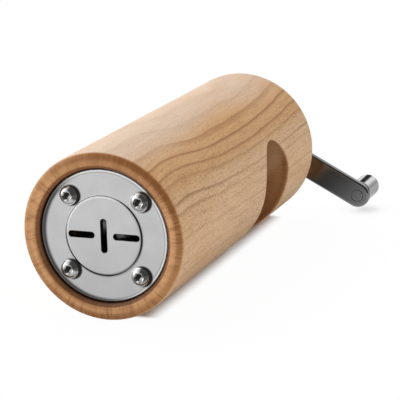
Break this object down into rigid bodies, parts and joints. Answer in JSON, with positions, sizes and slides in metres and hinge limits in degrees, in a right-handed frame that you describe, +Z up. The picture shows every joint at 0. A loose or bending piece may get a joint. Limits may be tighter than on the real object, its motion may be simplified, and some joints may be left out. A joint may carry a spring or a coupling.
{
  "type": "nutmeg mill",
  "caption": "Cylindrical wooden hand mill with a slotted steel cutter disc in its base, a side loading window, a sprung pronged plunger and a flat steel crank with a round knob.",
  "frame": {"origin": "centre of the base rim, where the mill's axis meets the plane that it stands on in use", "axes": "+Y along the mill's axis from the base rim to the crank, +X towards the loading window and the crank arm, +Z up as the mill lies on its side"},
  "size_m": [0.0667, 0.1517, 0.05],
  "materials": {
    "body_wood": "fine-sanded and lightly oiled, growth lines along the axis",
    "plate_steel": "satin, bright rounded edge",
    "cutter_steel": "satin, sharp cutting lips inside",
    "screw_steel": "polished button heads",
    "insert_brass": "plain turned",
    "bush_steel": "turned",
    "washer_steel": "stamped",
    "spring_steel": "drawn wire",
    "plunger_steel": "turned",
    "pin_steel": "ground",
    "shaft_steel": "ground bar",
    "washer_nylon": "natural nylon",
    "crank_steel": "polished",
    "knob_steel": "polished"
  },
  "bodies": {
    "body": {"body": "body_wood", "base_plate": "plate_steel", "cutter_disc": "cutter_steel", "plate_screws": "screw_steel", "threaded_inserts": "insert_brass", "top_bush": "bush_steel", "spring_seat": "washer_steel", "spring": "spring_steel", "hub_washer": "washer_nylon"},
    "carriage": {"thrust_washer": "washer_steel"},
    "rotor": {"plunger": "plunger_steel", "nut_prongs": "plunger_steel", "plunger_pin": "pin_steel", "drive_shaft": "shaft_steel", "crank_hub": "crank_steel", "hub_pin": "pin_steel", "crank_arm": "crank_steel", "lock_washer": "washer_steel", "crank_screw": "screw_steel", "knob_washer": "washer_steel", "knob_rivet": "knob_steel"},
    "knob": {"knob": "knob_steel"}
  },
  "joints": [
    {"name": "lift", "type": "slide", "parent": "body", "child": "carriage", "axis": [0, 1, 0], "range_m": [0, 0.09], "stiffness_N_per_m": 195, "springref_m": -0.016, "deforming": ["spring"]},
    {"name": "crank_turn", "type": "hinge", "parent": "carriage", "child": "rotor", "pos_m": [0, 0, 0], "axis": [0, -1, 0], "continuous": true},
    {"name": "knob_spin", "type": "hinge", "parent": "rotor", "child": "knob", "pos_m": [0.03735, 0, -0.01854], "axis": [0, 1, 0], "continuous": true}
  ]
}
